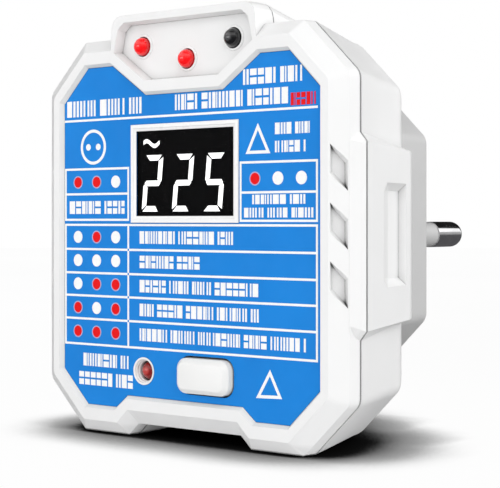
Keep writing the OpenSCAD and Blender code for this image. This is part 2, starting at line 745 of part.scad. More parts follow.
// The same screw driven from inside the housing towards the wall.
module screw_out(head_depth, head_r, head_t, r, l, drive) {
    translate([0, 2 * (head_depth - face_depth), 0]) mirror([0, 1, 0])
        screw(head_depth, head_r, head_t, r, l, drive);
}

module housing_screws() {
    color(tin) at_each(housing_screw_at) screw(well_depth + fit + 1.7, 2.3, 1.7, 1.3, 14, 2.6);
}
module board_screws() {
    color(tin) at_each(board_screw_at) screw(board_back + fit + 1.3, 2, 1.3, 1, 6.6, 2.2);
}
module plug_screws() {
    color(tin) at_each(plug_screw_at) screw_out(back_inner - fit - 1.6, 2.3, 1.6, 1.1, 5.4, 2.6);
}
module retainer_screws() {
    color(tin) at_each(retainer_screw_at) screw_out(base_inner - 3.15 - 1.3, 1.9, 1.3, 0.9, 4, 2.2);
}

front_shell();
rear_shell();
plug_base();
pin_retainer();
live_pin();
neutral_pin();
live_sleeve();
neutral_sleeve();
earth_strip();
front_label();
display_window();
lcd_cell();
lcd_pins();
backlight();
main_board();
led_left();
led_centre();
led_right();
rcd_led();
rcd_button();
button_spring();
switch_body();
switch_plunger();
switch_contact();
controller_chip();
bridge_rectifier();
filter_capacitor();
dropper_capacitor();
fuse();
load_resistors();
sense_resistors();
live_wire();
neutral_wire();
earth_wire();
housing_screws();
board_screws();
plug_screws();
retainer_screws();
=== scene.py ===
"""Looks of the socket tester plug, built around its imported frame. Metres, +Y to the wall."""
import math
import random

import bmesh
import bpy
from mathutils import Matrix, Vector


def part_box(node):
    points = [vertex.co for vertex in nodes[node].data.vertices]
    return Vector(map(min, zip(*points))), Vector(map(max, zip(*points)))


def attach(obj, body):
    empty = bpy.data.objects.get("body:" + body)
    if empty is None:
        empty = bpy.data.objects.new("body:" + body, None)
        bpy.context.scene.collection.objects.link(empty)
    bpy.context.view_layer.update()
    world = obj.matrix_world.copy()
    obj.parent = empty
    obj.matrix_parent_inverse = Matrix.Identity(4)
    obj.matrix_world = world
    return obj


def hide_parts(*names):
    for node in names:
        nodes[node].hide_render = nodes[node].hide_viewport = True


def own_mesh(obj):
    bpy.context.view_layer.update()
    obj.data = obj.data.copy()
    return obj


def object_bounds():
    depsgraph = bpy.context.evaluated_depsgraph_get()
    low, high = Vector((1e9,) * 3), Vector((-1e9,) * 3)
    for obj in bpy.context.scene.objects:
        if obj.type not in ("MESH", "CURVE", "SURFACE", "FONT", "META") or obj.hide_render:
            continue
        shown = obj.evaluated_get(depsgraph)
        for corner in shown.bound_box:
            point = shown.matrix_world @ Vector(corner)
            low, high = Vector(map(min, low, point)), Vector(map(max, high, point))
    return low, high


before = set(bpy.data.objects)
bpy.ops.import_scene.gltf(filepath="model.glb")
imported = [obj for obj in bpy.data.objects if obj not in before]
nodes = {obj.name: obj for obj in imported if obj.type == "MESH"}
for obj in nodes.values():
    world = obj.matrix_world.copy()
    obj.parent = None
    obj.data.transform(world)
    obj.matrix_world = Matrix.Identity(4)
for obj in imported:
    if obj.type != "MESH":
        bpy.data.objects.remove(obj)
cad_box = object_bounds()
MM = 0.001
random.seed(7)

# ---------------------------------------------------------------- materials


class Nodes:
    """Short hand for building one material's node tree."""

    def __init__(self, name):
        self.mat = bpy.data.materials.new(name)
        self.mat.use_nodes = True
        self.tree = self.mat.node_tree
        self.bsdf = self.tree.nodes["Principled BSDF"]
        self.coord = self.tree.nodes.new("ShaderNodeTexCoord").outputs["Object"]

    def add(self, kind, **inputs):
        node = self.tree.nodes.new("ShaderNode" + kind)
        for key, value in inputs.items():
            if key in node.bl_rna.properties and key not in node.inputs:
                setattr(node, key, value)
                continue
            socket = node.inputs[int(key[1:]) if key[0] == "i" and key[1:].isdigit() else key]
            if isinstance(value, bpy.types.NodeSocket):
                self.tree.links.new(value, socket)
            else:
                socket.default_value = value
        return node

    def set(self, **inputs):
        for key, value in inputs.items():
            socket = self.bsdf.inputs[key.replace("_", " ")]
            if isinstance(value, bpy.types.NodeSocket):
                self.tree.links.new(value, socket)
            else:
                socket.default_value = value

    def noise(self, size_mm, detail=3.0, rough=0.55, stretch=None):
        vector = self.coord
        if stretch:
            vector = self.add("Mapping", Vector=vector, Scale=stretch).outputs[0]
        out = self.add("TexNoise", Vector=vector, Scale=1 / (size_mm * MM), Detail=detail,
                       Roughness=rough)
        return out.outputs["Fac"]

    def ramp(self, value, low, high, start=0.3, end=0.7):
        out = self.add("MapRange", Value=value)
        out.inputs["From Min"].default_value = start
        out.inputs["From Max"].default_value = end
        out.inputs["To Min"].default_value = low
        out.inputs["To Max"].default_value = high
        return out.outputs[0]

    def mix(self, fac, a, b):
        node = self.tree.nodes.new("ShaderNodeMix")
        node.data_type = "RGBA"
        for index, value in ((0, fac), (6, a), (7, b)):
            if isinstance(value, bpy.types.NodeSocket):
                self.tree.links.new(value, node.inputs[index])
            else:
                node.inputs[index].default_value = value
        return node.outputs[2]

    def bump(self, height, strength, distance_mm, normal=None):
        node = self.add("Bump", Height=height, Strength=strength, Distance=distance_mm * MM)
        if normal is not None:
            self.tree.links.new(normal, node.inputs["Normal"])
        return node.outputs[0]


def rgb(r, g, b):
    """Linear colour from screen values 0 to 255."""
    return tuple(((c / 255) / 12.92 if c <= 10.31 else ((c / 255 + 0.055) / 1.055) ** 2.4)
                 for c in (r, g, b)) + (1.0,)


def scale(color, k):
    return tuple(min(1, c * k) for c in color[:3]) + (1.0,)


def moulded(name, color, rough=0.35, grain_mm=0.35, grain=0.12, vary=0.03, sheen=0.4,
            gap=None, hollow_shade=None, edge_mm=0.0):
    """Moulded plastic: slow tint drift, fine spark-eroded grain, patchy gloss and softly shaded
    edges. gap and hollow are (reach in mm, share of the colour left) for painted shade: dark
    painted shade in narrow gaps and faint painted shade in recesses; the recess shade is not
    painted on faces that look down."""
    n = Nodes(name)
    drift = n.noise(14, 2)
    tint = n.mix(n.ramp(drift, 0, 1), scale(color, 1 - vary), scale(color, 1 + vary))
    # painted shade: darkens the colour in recesses, except on faces that look down
    if hollow_shade:
        near = n.add("AmbientOcclusion", Distance=hollow_shade[0] * MM, samples=8).outputs["AO"]
        up = n.add("SeparateXYZ", Vector=n.add("NewGeometry").outputs["Normal"]).outputs[2]
        clear = n.add("Math", operation="MAXIMUM", i0=n.ramp(near, 0, 1, 0.3, 0.85),
                      i1=n.ramp(up, 1, 0, -0.6, -0.3)).outputs[0]
        tint = n.mix(clear, scale(color, hollow_shade[1]), tint)
    # painted shade: darkens the colour in narrow gaps, such as the parting line between the shells
    if gap:
        near = n.add("AmbientOcclusion", Distance=gap[0] * MM, samples=8).outputs["AO"]
        tint = n.mix(n.ramp(near, 0, 1, 0.22, 0.7), scale(color, gap[1]), tint)
    n.set(Base_Color=tint, Roughness=n.ramp(n.noise(3.5, 4), rough - 0.05, rough + 0.07),
          Specular_IOR_Level=sheen)
    fine = n.noise(grain_mm, 2, 0.6)
    soft = n.add("Bevel", samples=4, Radius=edge_mm * MM).outputs[0] if edge_mm else None
    n.set(Normal=n.bump(fine, grain, 0.02, soft))
    return n.mat


def metal(name, color, rough=0.18, line_mm=0.12, along=(1, 0.02, 1), strength=0.08):
    """Plated or brushed metal with fine lines along one axis and slight tarnish."""
    n = Nodes(name)
    lines = n.noise(line_mm, 2, 0.5, stretch=along)
    stain = n.noise(2.5, 4)
    n.set(Base_Color=n.mix(n.ramp(stain, 0, 1), color, scale(color, 0.82)), Metallic=1.0,
          Roughness=n.ramp(stain, rough, rough + 0.12), Normal=n.bump(lines, strength, 0.01))
    return n.mat


def printed(name, color, rough=0.45):
    """Screen print: faint mesh pattern and small density changes."""
    n = Nodes(name)
    density = n.noise(0.5, 3)
    n.set(Base_Color=n.mix(n.ramp(density, 0, 1), color, scale(color, 0.95)),
          Roughness=n.ramp(n.noise(2.0, 2), rough, rough + 0.1), Specular_IOR_Level=0.15,
          Normal=n.bump(n.noise(0.15, 1), 0.05, 0.005))
    return n.mat


WHITE = rgb(240, 240, 240)
# moulded: name, colour, roughness, grain size in mm, grain strength, tint drift, gloss, gap
# (painted shade in narrow gaps), hollow (painted shade in recesses), softened edge in mm.
# metal: name, colour, roughness, line width in mm, stretch of the lines, strength.
M = {
    "shell": moulded("shell_white", WHITE, 0.42, 0.3, 0.10, 0.012, 0.35, (0.55, 0.03), (2.4, 0.68),
                     0.1),
    "button": moulded("button_white", rgb(243, 243, 242), 0.32, 0.3, 0.06, 0.012, 0.4, (0.5, 0.3),
                      None, 0.08),
    "bezel": moulded("bezel_white", rgb(244, 244, 244), 0.28, 0.4, 0.04, 0.01, 0.45, (0.4, 0.4)),
    "base": moulded("plug_grey", rgb(198, 198, 198), 0.5, 0.3, 0.14, 0.02, 0.3, None,
                    (2.0, 0.4), 0.15),
    "retainer": moulded("retainer_grey", rgb(190, 190, 188), 0.5, 0.4, 0.14, 0.03, 0.3),
    "sleeve": moulded("sleeve_grey", rgb(200, 200, 200), 0.45, 0.3, 0.08, 0.02, 0.4),
    "pin": metal("nickel_pin", (0.78, 0.78, 0.79, 1), 0.1, 0.15, (1, 1, 1), 0.03),
    "tin": metal("tinned_metal", (0.75, 0.75, 0.76, 1), 0.36),
    "zinc": metal("zinc_screw", (0.66, 0.67, 0.70, 1), 0.28, 0.2, (1, 1, 1), 0.1),
    "spring": metal("spring_wire", (0.55, 0.56, 0.58, 1), 0.22, 0.1, (1, 1, 1), 0.06),
    "print_white": printed("print_white", rgb(252, 252, 252)),
    "print_red": printed("print_red", rgb(238, 4, 14)),
    "print_pale": printed("print_pale", rgb(176, 176, 214)),
    "black": moulded("component_black", rgb(38, 38, 40), 0.5, 0.25, 0.2, 0.1, 0.3),
    "milky": moulded("diffuser_milk", rgb(240, 240, 232), 0.3, 0.6, 0.05, 0.02, 0.4),
    "orange": moulded("plunger_orange", rgb(206, 98, 36), 0.4, 0.4, 0.1, 0.04),
    "cap_blue": moulded("capacitor_sleeve", rgb(28, 42, 92), 0.25, 0.8, 0.05, 0.05),
    "cap_yellow": moulded("capacitor_box", rgb(214, 160, 48), 0.35, 0.5, 0.1, 0.05),
    "fuse": moulded("fuse_cup", rgb(122, 48, 34), 0.3, 0.5, 0.08, 0.05),
    "brown": moulded("wire_brown", rgb(100, 58, 32), 0.45, 0.8, 0.1, 0.06),
    "blue": moulded("wire_blue", rgb(30, 78, 172), 0.45, 0.8, 0.1, 0.06),
    "green": moulded("wire_green", rgb(110, 150, 40), 0.45, 0.8, 0.1, 0.06),
    "lcd": moulded("display_black", rgb(5, 5, 6), 0.5, 1.0, 0.03, 0.1, 0.04),
}


def digit_material():
    n = Nodes("display_segment")
    n.set(Base_Color=rgb(250, 250, 250), Roughness=0.5, Emission_Color=(1, 1, 1, 1),
          Emission_Strength=n.ramp(n.noise(1.5, 2), 0.55, 0.75))
    return n.mat


def window_material():
    """Clear lens: mostly see-through, with a thin reflection."""
    n = Nodes("window_clear")
    n.set(Base_Color=rgb(20, 20, 22), Roughness=n.ramp(n.noise(4, 2), 0.04, 0.12), Alpha=0.02,
          Specular_IOR_Level=0.1)
    return n.mat


def label_material():
    """Printed plastic sheet, with painted shade darkening it near walls and edges. What it throws
    on its surroundings is nearly grey.
    """
    n = Nodes("label_blue")
    ink = n.mix(n.ramp(n.noise(9, 3), 0, 1), rgb(8, 128, 216), rgb(12, 134, 223))
    # painted shade: the ink turns a darker blue within 0.5 mm of walls and edges
    near = n.add("AmbientOcclusion", Distance=0.5 * MM, samples=8).outputs["AO"]
    ink = n.mix(n.ramp(near, 0, 1, 0.2, 0.85), rgb(10, 70, 130), ink)
    bounce = n.add("LightPath").outputs["Is Diffuse Ray"]
    n.set(Base_Color=n.mix(bounce, ink, rgb(150, 158, 166)),
          Roughness=n.ramp(n.noise(3, 3), 0.5, 0.6), Specular_IOR_Level=0.2,
          Normal=n.bump(n.noise(0.22, 2, 0.6), 0.14, 0.02))
    return n.mat


def lamp_material(name, core, body, rim, glow):
    """Coloured resin seen end on: a brighter core, the body and a darker rim, by the distance
    from the lamp's own axis."""
    n = Nodes(name)
    flat = n.add("VectorMath", operation="MULTIPLY", i0=n.coord, i1=(1, 0, 1)).outputs[0]
    out = n.add("VectorMath", operation="LENGTH", i0=flat).outputs["Value"]
    wobble = n.add("Math", operation="MULTIPLY_ADD", i0=n.noise(0.9, 2), i1=0.3 * MM, i2=out)
    colour = n.add("ValToRGB", Fac=n.ramp(wobble.outputs[0], 0, 1, 0.1 * MM, 1.75 * MM))
    ramp = colour.color_ramp
    ramp.elements[0].color, ramp.elements[1].color = core, rim
    for at, tone in ((0.3, core), (0.5, body), (0.84, body)):
        ramp.elements.new(at).color = tone
    tint = colour.outputs[0]
    n.set(Base_Color=tint, Roughness=n.ramp(n.noise(1.2, 2), 0.1, 0.16), Coat_Weight=0.5,
          Coat_Roughness=0.06, Normal=n.bump(n.noise(0.8, 2), 0.04, 0.01),
          Emission_Color=tint, Emission_Strength=glow)
    return n.mat


def banded(name, body, bands, across, reach_mm):
    """Resistor lacquer with painted bands and bare leads, by the distance along X from the
    middle. Across lists the middles of the columns."""
    n = Nodes(name)
    x = n.add("SeparateXYZ", Vector=n.coord).outputs[0]
    nearest = None
    for middle in across:
        gap = n.add("Math", operation="SUBTRACT", i0=x, i1=middle * MM).outputs[0]
        gap = n.add("Math", operation="ABSOLUTE", i0=gap).outputs[0]
        nearest = gap if nearest is None else n.add("Math", operation="MINIMUM", i0=nearest,
                                                    i1=gap).outputs[0]
    paint = n.add("ValToRGB", Fac=n.ramp(nearest, 0, 1, 0.0, reach_mm * MM))
    paint.color_ramp.interpolation = "CONSTANT"
    paint.color_ramp.elements[0].color = body
    paint.color_ramp.elements[1].position = bands[0][0]
    paint.color_ramp.elements[1].color = bands[0][1]
    for at, tone in bands[1:]:
        paint.color_ramp.elements.new(at).color = tone
    lead = n.add("Math", operation="GREATER_THAN", i0=nearest, i1=reach_mm * MM).outputs[0]
    n.set(Base_Color=n.mix(lead, paint.outputs[0], (0.75, 0.75, 0.76, 1)), Metallic=lead,
          Roughness=n.ramp(n.noise(1.5, 3), 0.3, 0.45), Normal=n.bump(n.noise(0.5, 3), 0.2, 0.02))
    return n.mat


def board_material():
    """Green solder mask over copper tracks, with drilled and tinned pads on a 2.54 mm grid."""
    n = Nodes("solder_mask")
    track = n.add("TexBrick", Vector=n.coord, Scale=1 / (9 * MM))
    track.offset = 0.37
    track.inputs["Mortar Size"].default_value = 0.035
    track.inputs["Color1"].default_value = rgb(20, 80, 42)
    track.inputs["Color2"].default_value = rgb(23, 88, 47)
    track.inputs["Mortar"].default_value = rgb(46, 128, 66)
    turned = n.add("Mapping", Vector=n.coord, Rotation=(math.pi / 2, 0, 0)).outputs[0]
    n.tree.links.new(turned, track.inputs["Vector"])
    cell = n.add("VectorMath", operation="SCALE", i0=n.coord, Scale=1 / (5.08 * MM)).outputs[0]
    cell = n.add("VectorMath", operation="FRACTION", i0=cell).outputs[0]
    cell = n.add("VectorMath", operation="SUBTRACT", i0=cell, i1=(0.5, 0.5, 0.5)).outputs[0]
    cell = n.add("VectorMath", operation="MULTIPLY", i0=cell, i1=(1, 0, 1)).outputs[0]
    spot = n.add("VectorMath", operation="LENGTH", i0=cell).outputs["Value"]
    pad = n.add("Math", operation="LESS_THAN", i0=spot, i1=0.14).outputs[0]
    n.set(Base_Color=n.mix(pad, track.outputs[0], (0.62, 0.63, 0.64, 1)), Metallic=pad,
          Roughness=n.ramp(n.noise(3, 3), 0.25, 0.36), Normal=n.bump(n.noise(0.4, 2), 0.1, 0.01))
    return n.mat


M["digit"] = digit_material()
M["window"] = window_material()
M["label"] = label_material()
M["board"] = board_material()
M["red_lamp"] = lamp_material("lamp_red", rgb(255, 34, 38), rgb(238, 8, 16), rgb(150, 4, 8), 0.2)
M["dark_lamp"] = lamp_material("lamp_dark", rgb(76, 76, 78), rgb(20, 20, 22), rgb(6, 6, 7), 0.0)
M["dull_lamp"] = lamp_material("lamp_dull_red", rgb(190, 70, 66), rgb(140, 24, 22),
                               rgb(70, 14, 12), 0.04)
LOAD_BLUE, SENSE_BLUE = rgb(92, 142, 176), rgb(96, 150, 190)
BAND_BROWN, BAND_BLACK = rgb(120, 70, 30), rgb(20, 20, 22)
BAND_RED, BAND_GOLD = rgb(196, 40, 30), rgb(206, 166, 60)
M["load"] = banded("load_resistor", LOAD_BLUE,
                   [(0.06, BAND_BROWN), (0.16, LOAD_BLUE), (0.4, BAND_BLACK),
                    (0.5, LOAD_BLUE), (0.72, BAND_GOLD), (0.82, LOAD_BLUE)], [12.5], 5.52)
M["sense"] = banded("sense_resistor", SENSE_BLUE,
                    [(0.1, BAND_RED), (0.26, SENSE_BLUE), (0.55, BAND_GOLD),
                     (0.72, SENSE_BLUE)], [-16.6, 16.8], 3.17)

NODE_LOOK = {
    "front_shell": "shell", "rear_shell": "shell", "plug_base": "base",
    "pin_retainer": "retainer", "live_pin": "pin", "neutral_pin": "pin",
    "live_sleeve": "sleeve", "neutral_sleeve": "sleeve", "earth_strip": "tin",
    "front_label": "label", "display_window": "window", "lcd_cell": "lcd", "lcd_pins": "tin",
    "backlight": "milky", "main_board": "board", "led_left": "red_lamp",
    "led_centre": "red_lamp", "led_right": "dark_lamp", "rcd_led": "dull_lamp",
    "rcd_button": "button", "button_spring": "spring", "switch_body": "black",
    "switch_plunger": "orange", "switch_contact": "tin", "controller_chip": "black",
    "bridge_rectifier": "black", "filter_capacitor": "cap_blue",
    "dropper_capacitor": "cap_yellow", "fuse": "fuse", "load_resistors": "load",
    "sense_resistors": "sense", "live_wire": "brown", "neutral_wire": "blue",
    "earth_wire": "green", "housing_screws": "zinc", "board_screws": "zinc",
    "plug_screws": "zinc", "retainer_screws": "zinc",
}


def dress(obj, look):
    obj.data.materials.clear()
    obj.data.materials.append(M[look])


def smooth(obj, angle):
    """Smooth shading, kept crisp at edges sharper than angle."""
    mod = obj.modifiers.new("Smooth", "NODES")
    mod.node_group = smooth_group(angle)


def smooth_group(angle):
    key = "smooth_%d" % angle
    group = bpy.data.node_groups.get(key)
    if group:
        return group
    group = bpy.data.node_groups.new(key, "GeometryNodeTree")
    group.interface.new_socket("Geometry", in_out="INPUT", socket_type="NodeSocketGeometry")
    group.interface.new_socket("Geometry", in_out="OUTPUT", socket_type="NodeSocketGeometry")
    new, link = group.nodes.new, group.links.new
    start, end = new("NodeGroupInput"), new("NodeGroupOutput")
    faces = new("GeometryNodeSetShadeSmooth")
    edges = new("GeometryNodeSetShadeSmooth")
    edges.domain = "EDGE"
    edge_angle = new("GeometryNodeInputMeshEdgeAngle")
    less = new("FunctionNodeCompare")
    less.data_type, less.operation = "FLOAT", "LESS_THAN"
    less.inputs[1].default_value = math.radians(angle)
    link(start.outputs[0], faces.inputs["Geometry"])
    link(faces.outputs[0], edges.inputs["Geometry"])
    link(edge_angle.outputs["Unsigned Angle"], less.inputs[0])
    link(less.outputs[0], edges.inputs["Shade Smooth"])
    link(edges.outputs[0], end.inputs[0])
    return group


WELD_MM = 0.004      # corners nearer than this are joined
FLAT_DEG = 1.0       # triangles that turn less than this become one face
SHELL_CRISP, NODE_CRISP = 13.0, 35.0


def clean(obj, crisp):
    """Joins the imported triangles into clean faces, and keeps edges sharper than crisp sharp."""
    weld = obj.modifiers.new("Weld", "WELD")
    weld.merge_threshold = WELD_MM * MM
    flat = obj.modifiers.new("Planar", "DECIMATE")
    flat.decimate_type = "DISSOLVE"
    flat.angle_limit = math.radians(FLAT_DEG)
    smooth(obj, crisp)


for name, look in NODE_LOOK.items():
    dress(nodes[name], look)
for name in nodes:
    clean(nodes[name], SHELL_CRISP if name.endswith("_shell") else NODE_CRISP)

# ---------------------------------------------------------------- pieces
# x to the right and z up seen from the front, depth behind the front rim; all in millimetres.

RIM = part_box("front_shell")[0].y
LABEL_DEPTH = (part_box("front_label")[0].y - RIM) / MM
PANEL_DEPTH = LABEL_DEPTH + 1.0    # face of the panel that the three lamps stand in
PRINT_MM = 0.03                    # how far the print stands in front of the label
PRINT_SINK = 0.01                  # how far its back is sunk into the label
RULE = 0.36                        # width of the printed rules
HALF_RULE = RULE / 2


def at(x, z, depth):
    return (x * MM, RIM + depth * MM, z * MM)


def middle_of(name):
    """x and z of a node's middle, mm."""
    low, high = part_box(name)
    return (low.x + high.x) / 2 / MM, (low.z + high.z) / 2 / MM


class Shape:
    """Mesh of one piece, put together from lofts, rings and turned parts."""

    def __init__(self, origin=(0.0, 0.0)):
        self.origin = origin
        self.verts, self.faces = [], []

    def loft(self, outlines, depths, loop=False):
        """Skin over outlines of (x, z) at each depth. With loop the last joins the first."""
        start, count = len(self.verts), len(outlines[0])
        for outline, depth in zip(outlines, depths):
            self.verts += [at(x, z, depth) for x, z in outline]
        rings = len(outlines)
        for s in range(rings if loop else rings - 1):
            a, b = start + s * count, start + (s + 1) % rings * count
            for i in range(count):
                j = (i + 1) % count
                self.faces.append((a + i, b + i, b + j, a + j))
        if not loop:
            self.faces.append(tuple(range(start, start + count)))
            last = start + (rings - 1) * count
            self.faces.append(tuple(range(last + count - 1, last - 1, -1)))

    def lathe(self, profile, centre, sides=48, loop=False):
        """Turned part about the depth axis, through (radius, depth) points. Radius 0 at an end
        closes it in a point."""
        x, z = centre
        start, rows = len(self.verts), []
        for r, depth in profile:
            turns = range(sides) if r else [0]
            rows.append([len(self.verts) + k for k in turns])
            for k in turns:
                a = 2 * math.pi * k / sides
                self.verts.append(at(x + r * math.cos(a), z + r * math.sin(a), depth))
        pairs = list(zip(rows, rows[1:])) + ([(rows[-1], rows[0])] if loop else [])
        for near, far in pairs:
            for k in range(sides):
                a, b = near[k % len(near)], near[(k + 1) % len(near)]
                c, d = far[(k + 1) % len(far)], far[k % len(far)]
                self.faces.append(tuple(dict.fromkeys((a, d, c, b))))
        for row in (rows[0], rows[-1]) if not loop else ():
            if len(row) > 1:
                self.faces.append(tuple(row))

    def flat(self, outline):
        """Printed shape on the label, standing a little proud of it."""
        self.loft([outline, outline], [LABEL_DEPTH - PRINT_MM, LABEL_DEPTH + PRINT_SINK])

    def bar(self, x0, z0, x1, z1):
        self.flat([(x0, z0), (x1, z0), (x1, z1), (x0, z1)])

    def across(self, x0, x1, z):
        self.bar(x0, z - HALF_RULE, x1, z + HALF_RULE)

    def upright(self, x, z0, z1):
        self.bar(x - HALF_RULE, z0, x + HALF_RULE, z1)

    def disc(self, x, z, r, sides=40):
        self.flat([(x + r * math.cos(2 * math.pi * k / sides),
                    z + r * math.sin(2 * math.pi * k / sides)) for k in range(sides)])

    def band(self, outer, inner):
        """Printed outline: the area between two outlines of equal length."""
        front, back = LABEL_DEPTH - PRINT_MM, LABEL_DEPTH + PRINT_SINK
        self.loft([outer, outer, inner, inner], [back, front, front, back], loop=True)

    def circle_band(self, x, z, r0, r1, sides=40):
        turn = [(math.cos(2 * math.pi * k / sides), math.sin(2 * math.pi * k / sides))
                for k in range(sides)]
        self.band([(x + r1 * c, z + r1 * s) for c, s in turn],
                  [(x + r0 * c, z + r0 * s) for c, s in turn])

    def build(self, name, look, body="housing", smooth_angle=30.0):
        mesh = bpy.data.meshes.new(name)
        ox, oz = self.origin
        shift = Vector((ox * MM, 0.0, oz * MM))
        mesh.from_pydata([Vector(v) - shift for v in self.verts], [], self.faces)
        work = bmesh.new()
        work.from_mesh(mesh)
        bmesh.ops.recalc_face_normals(work, faces=work.faces)
        work.to_mesh(mesh)
        work.free()
        mesh.update()
        mesh.materials.append(M[look])
        obj = bpy.data.objects.new(name, mesh)
        obj.location = shift
        bpy.context.scene.collection.objects.link(obj)
        bpy.context.view_layer.update()
        if smooth_angle:
            smooth(obj, smooth_angle)
        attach(obj, body)
        return obj


def box_outline(x0, x1, z0, z1, out=0.0):
    return [(x0 - out, z0 - out), (x1 + out, z0 - out), (x1 + out, z1 + out), (x0 - out, z1 + out)]


def rounded_box(w, h, r, steps=8):
    """Outline of a rectangle about the origin with round corners."""
    points = []
    for k, (sx, sz) in enumerate(((1, -1), (1, 1), (-1, 1), (-1, -1))):
        cx, cz = sx * (w / 2 - r), sz * (h / 2 - r)
        for i in range(steps + 1):
            a = math.pi / 2 * (k - 1 + i / steps)
            points.append((cx + r * math.cos(a), cz + r * math.sin(a)))
    return points


# ---- print on the label

LEFT, RIGHT = -26.65, 26.25
COLUMN = -12.05
ROW_LINES = (1.9, -2.2, -6.2, -10.05, -13.95, -18.25)
TITLE_RULE = (-26.9, 26.4, 19.55)
# left, right, bottom, top and the rule between the halves of the boxes beside the display
SIDE_BOXES = ((LEFT, COLUMN, 2.75, 11.3, 7.09), (11.7, RIGHT, 2.6, 11.6, 6.96))
DOT_X = (-23.7, -19.32, -14.92)
RIGHT_DOT_X = (14.52, 18.96, 23.38)
DOT_R = 1.02
RED_INSET = 0.12     # a red dot is this much smaller, inside a pale ring
RING_PROUD = 0.06


def ruled_box(s, x0, x1, z0, z1):
    s.band(box_outline(x0, x1, z0, z1, HALF_RULE), box_outline(x0, x1, z0, z1, -HALF_RULE))


def print_lines():
    """Rules and boxes of the status table."""
    s = Shape()
    s.across(*TITLE_RULE)
    for x0, x1, z0, z1, split in SIDE_BOXES:
        ruled_box(s, x0, x1, z0, z1)
        s.across(x0 + HALF_RULE, x1 - HALF_RULE, split)
    ruled_box(s, LEFT, RIGHT, ROW_LINES[-1], ROW_LINES[0])
    for upper, lower in zip(ROW_LINES, ROW_LINES[1:]):
        s.upright(COLUMN, lower + HALF_RULE, upper - HALF_RULE)
    for z in ROW_LINES[1:-1]:
        s.across(LEFT + HALF_RULE, COLUMN - HALF_RULE, z)
        s.across(COLUMN + HALF_RULE, RIGHT - HALF_RULE, z)
    s.build("print_lines", "print_white", smooth_angle=0)


def print_dots():
    """Lamp codes: three dots for each state, white for off and red for lit."""
    rows = [("RRW", 9.1, DOT_X), ("RWW", 9.09, RIGHT_DOT_X)]
    rows += [(code, z, DOT_X) for code, z in zip(
        ("WRW", "WWW", "WRR", "RWR", "RRR"), (-0.14, -4.09, -8.04, -12.08, -16.11))]
    white, red, ring = Shape(), Shape(), Shape()
    for code, z, places in rows:
        for kind, x in zip(code, places):
            if kind == "W":
                white.disc(x, z, DOT_R)
            else:
                red.disc(x, z, DOT_R - RED_INSET)
                ring.circle_band(x, z, DOT_R - RED_INSET, DOT_R + RING_PROUD)
    white.build("print_white_dots", "print_white", smooth_angle=0)
    red.build("print_red_dots", "print_red", smooth_angle=0)
    ring.build("print_dot_rings", "print_pale", smooth_angle=0)


WORD_LETTERS = (4, 8)                   # fewest and most letters in a word
LETTER_WIDTHS = (0.55, 0.85, 1.0, 1.1)  # as shares of the line's letter width
BLOCK_KINDS = ("bars", "halves", "posts", "block")


def blocks(s, x0, x1, z0, z1, letter):
    """A line of lettering stood in for by plain blocks and bars, with gaps between words."""
    x, left = x0, random.randint(*WORD_LETTERS)
    h = z1 - z0
    stroke = min(0.3 * letter, 0.2 * h)
    while x < x1 - 0.3 * letter:
        w = min(letter * random.choice(LETTER_WIDTHS), x1 - x)
        kind = random.choice(BLOCK_KINDS) if w > 0.6 * letter else "post"
        if kind == "post":
            w = min(w, stroke * 1.2)
            s.bar(x, z0, x + w, z1)
        elif kind == "bars":
            s.bar(x, z0, x + stroke, z1)
            s.bar(x + w - stroke, z0, x + w, z1)
        elif kind == "halves":
            s.bar(x, z0, x + w, z0 + 0.44 * h)
            s.bar(x, z0 + 0.58 * h, x + w, z1)
        elif kind == "posts":
            s.bar(x, z0, x + 0.62 * w, z1)
            s.bar(x + 0.78 * w, z0, x + w, z1)
        else:
            s.bar(x, z0, x + w, z1)
        x += w + 0.24 * letter
        left -= 1
        if left == 0:
            x += 0.55 * letter
            left = random.randint(*WORD_LETTERS)


# left, right, bottom, top and letter width of each line of lettering
TITLE_LINES = ((-26.3, -8.9, 20.2, 22.9, 1.35), (-1.8, 21.0, 20.35, 22.85, 1.2),
               (12.2, 23.5, 23.6, 26.0, 1.15))
SIGN_LINES = ((18.4, 24.9, 15.75, 17.5, 0.9), (18.4, 24.3, 13.0, 14.75, 0.9))
BOX_LINES = ((-25.7, -12.9, 3.75, 5.9, 1.15), (14.0, 24.3, 5.15, 6.6, 1.0),
             (12.4, 25.6, 3.1, 4.6, 1.0))
TEST_LINES = ((-22.4, -11.7, -21.9, -19.75, 1.1), (-23.4, -11.0, -25.1, -22.9, 1.1))
RED_LINE = (21.4, 26.1, 20.0, 21.9, 0.8)
ROW_TEXT_LEFT, ROW_TEXT_HALF, ROW_LETTER = -9.5, 1.02, 0.98
ROW_TEXT = ((10.4, -0.14), (3.9, -4.14), (15.7, -8.1), (15.3, -12.0), (24.2, -16.05))


def print_blocks():
    """Where the original has lettering this has plain blocks of the same size and weight."""
    s = Shape()
    for line in TITLE_LINES + SIGN_LINES + BOX_LINES + TEST_LINES:
        blocks(s, *line)
    for end, z in ROW_TEXT:
        blocks(s, ROW_TEXT_LEFT, end, z - ROW_TEXT_HALF, z + ROW_TEXT_HALF, ROW_LETTER)
    s.build("print_blocks", "print_white", smooth_angle=0)
    red = Shape()
    blocks(red, *RED_LINE)
    red.build("print_red_blocks", "print_red", smooth_angle=0)


def triangle(cx, base_z, apex_z, half, tilt=0.0):
    return [(cx - half, base_z), (cx + half, base_z + tilt), (cx + tilt, apex_z)]


def inner_triangle(corners, inset):
    """The same triangle shrunk towards its middle by inset on every side."""
    a, b, c = corners
    side = [math.dist(b, c), math.dist(c, a), math.dist(a, b)]
    cx = sum(w * p[0] for w, p in zip(side, corners)) / sum(side)
    cz = sum(w * p[1] for w, p in zip(side, corners)) / sum(side)
    area2 = abs((b[0] - a[0]) * (c[1] - a[1]) - (b[1] - a[1]) * (c[0] - a[0]))
    k = 1 - inset * sum(side) / area2
    return [(cx + (p[0] - cx) * k, cz + (p[1] - cz) * k) for p in corners]


